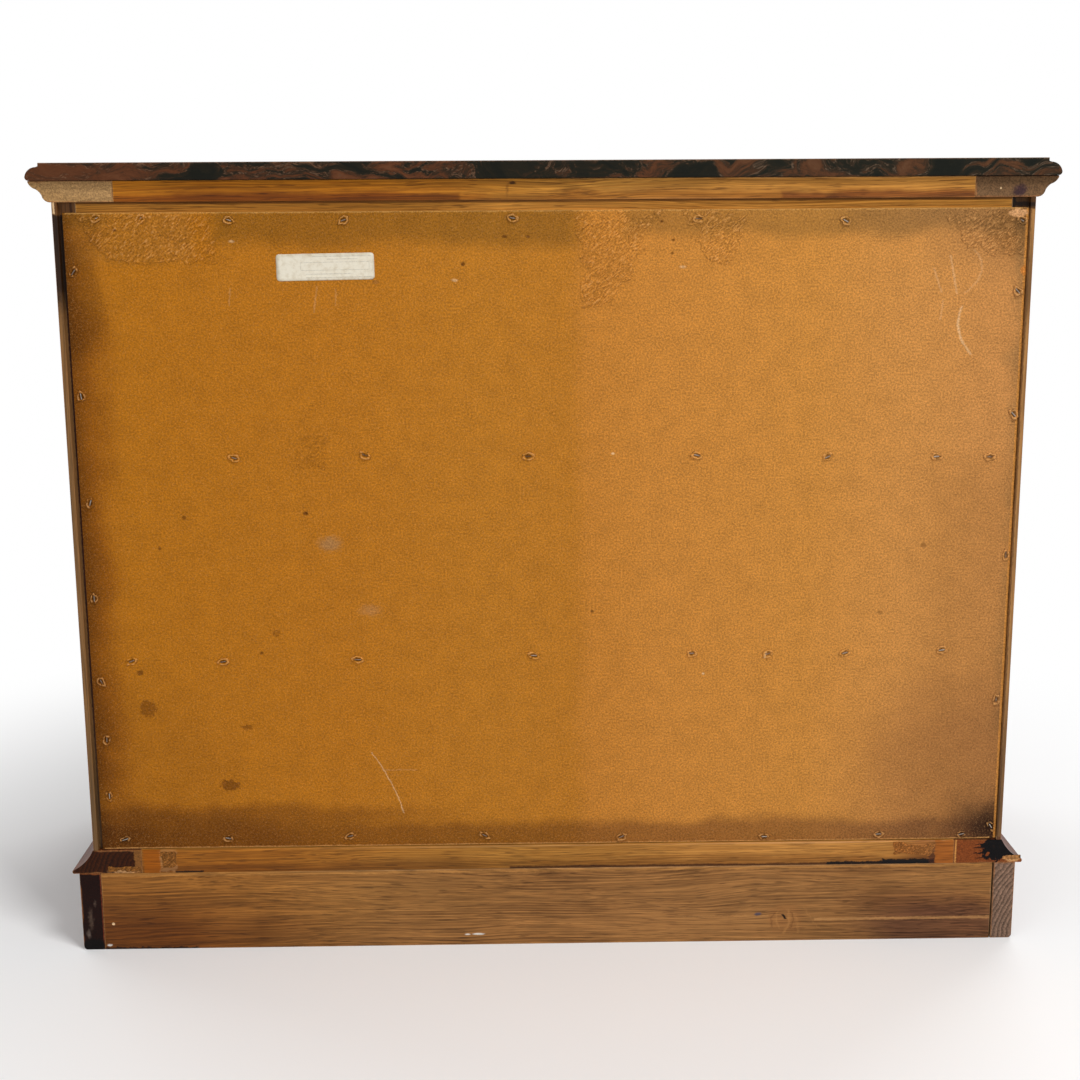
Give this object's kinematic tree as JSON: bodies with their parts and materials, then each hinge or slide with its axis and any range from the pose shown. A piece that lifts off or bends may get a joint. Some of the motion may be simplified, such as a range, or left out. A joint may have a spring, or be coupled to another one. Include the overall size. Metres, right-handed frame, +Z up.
{
  "type": "chest of drawers",
  "caption": "Floor-standing chest with stacked drawers, a moulded stone slab top, moulded frames, a plinth and swinging bail pulls.",
  "frame": {"origin": "on the floor, under the middle of the overall box", "axes": "+Z up, front (drawers) towards -Y, +X to the right of someone who faces the drawers"},
  "size_m": [0.9592, 0.4348, 0.778],
  "materials": {
    "stone": "polished dark stone with russet swirls, sawn back edge",
    "stained_hardwood": "dark brown stained hardwood, satin",
    "secondary_wood": "orange-tan sealed secondary wood",
    "plinth_back_wood": "brown stained softwood",
    "drawer_wood": "pale sealed hardwood",
    "drawer_bottom_ply": "thin plywood",
    "hardboard": "brown hardboard, scuffed",
    "brass": "aged satin brass"
  },
  "bodies": {
    "case": {"stone_top": "stone", "top_frame_left": "stained_hardwood", "top_frame_right": "stained_hardwood", "top_frame_front": "stained_hardwood", "top_frame_back": "secondary_wood", "base_frame_left": "stained_hardwood", "base_frame_right": "stained_hardwood", "base_frame_front": "stained_hardwood", "base_frame_back": "secondary_wood", "plinth_left": "stained_hardwood", "plinth_right": "stained_hardwood", "plinth_front": "stained_hardwood", "plinth_back": "plinth_back_wood", "plinth_glue_blocks": "secondary_wood", "side_panel_left": "stained_hardwood", "side_panel_right": "stained_hardwood", "front_stile_left": "stained_hardwood", "front_stile_right": "stained_hardwood", "front_top_rail": "stained_hardwood", "lower_drawer_blade": "stained_hardwood", "upper_drawer_blade": "stained_hardwood", "back_top_rail": "secondary_wood", "back_bottom_rail": "secondary_wood", "drawer_runners": "secondary_wood", "dust_frame_back_rails": "secondary_wood", "dust_panels": "hardboard", "back_panel": "hardboard", "drawer_kickers": "secondary_wood", "centre_guides": "secondary_wood"},
    "bottom_drawer": {"bottom_drawer_front": "stained_hardwood", "bottom_drawer_side_left": "drawer_wood", "bottom_drawer_side_right": "drawer_wood", "bottom_drawer_back": "drawer_wood", "bottom_drawer_bottom": "drawer_bottom_ply", "bottom_drawer_centre_runner": "drawer_wood", "bottom_drawer_pull_posts": "brass"},
    "bottom_drawer_bail_left": {"bottom_drawer_bail_left": "brass"},
    "bottom_drawer_bail_right": {"bottom_drawer_bail_right": "brass"},
    "middle_drawer": {"middle_drawer_front": "stained_hardwood", "middle_drawer_side_left": "drawer_wood", "middle_drawer_side_right": "drawer_wood", "middle_drawer_back": "drawer_wood", "middle_drawer_bottom": "drawer_bottom_ply", "middle_drawer_centre_runner": "drawer_wood", "middle_drawer_pull_posts": "brass"},
    "middle_drawer_bail_left": {"middle_drawer_bail_left": "brass"},
    "middle_drawer_bail_right": {"middle_drawer_bail_right": "brass"},
    "top_drawer": {"top_drawer_front": "stained_hardwood", "top_drawer_side_left": "drawer_wood", "top_drawer_side_right": "drawer_wood", "top_drawer_back": "drawer_wood", "top_drawer_bottom": "drawer_bottom_ply", "top_drawer_centre_runner": "drawer_wood", "top_drawer_pull_posts": "brass"},
    "top_drawer_bail_left": {"top_drawer_bail_left": "brass"},
    "top_drawer_bail_right": {"top_drawer_bail_right": "brass"}
  },
  "joints": [
    {"name": "bottom_drawer_slide", "type": "slide", "parent": "case", "child": "bottom_drawer", "axis": [0, -1, 0], "range_m": [0, 0.3]},
    {"name": "bottom_drawer_bail_left_hinge", "type": "hinge", "parent": "bottom_drawer", "child": "bottom_drawer_bail_left", "pos_m": [-0.25, -0.2105, 0.212], "axis": [-1, 0, 0], "range_deg": [-20, 200]},
    {"name": "bottom_drawer_bail_right_hinge", "type": "hinge", "parent": "bottom_drawer", "child": "bottom_drawer_bail_right", "pos_m": [0.25, -0.2105, 0.212], "axis": [-1, 0, 0], "range_deg": [-20, 200]},
    {"name": "middle_drawer_slide", "type": "slide", "parent": "case", "child": "middle_drawer", "axis": [0, -1, 0], "range_m": [0, 0.3]},
    {"name": "middle_drawer_bail_left_hinge", "type": "hinge", "parent": "middle_drawer", "child": "middle_drawer_bail_left", "pos_m": [-0.25, -0.2105, 0.4145], "axis": [-1, 0, 0], "range_deg": [-20, 200]},
    {"name": "middle_drawer_bail_right_hinge", "type": "hinge", "parent": "middle_drawer", "child": "middle_drawer_bail_right", "pos_m": [0.25, -0.2105, 0.4145], "axis": [-1, 0, 0], "range_deg": [-20, 200]},
    {"name": "top_drawer_slide", "type": "slide", "parent": "case", "child": "top_drawer", "axis": [0, -1, 0], "range_m": [0, 0.3]},
    {"name": "top_drawer_bail_left_hinge", "type": "hinge", "parent": "top_drawer", "child": "top_drawer_bail_left", "pos_m": [-0.25, -0.2105, 0.61], "axis": [-1, 0, 0], "range_deg": [-20, 200]},
    {"name": "top_drawer_bail_right_hinge", "type": "hinge", "parent": "top_drawer", "child": "top_drawer_bail_right", "pos_m": [0.25, -0.2105, 0.61], "axis": [-1, 0, 0], "range_deg": [-20, 200]}
  ]
}
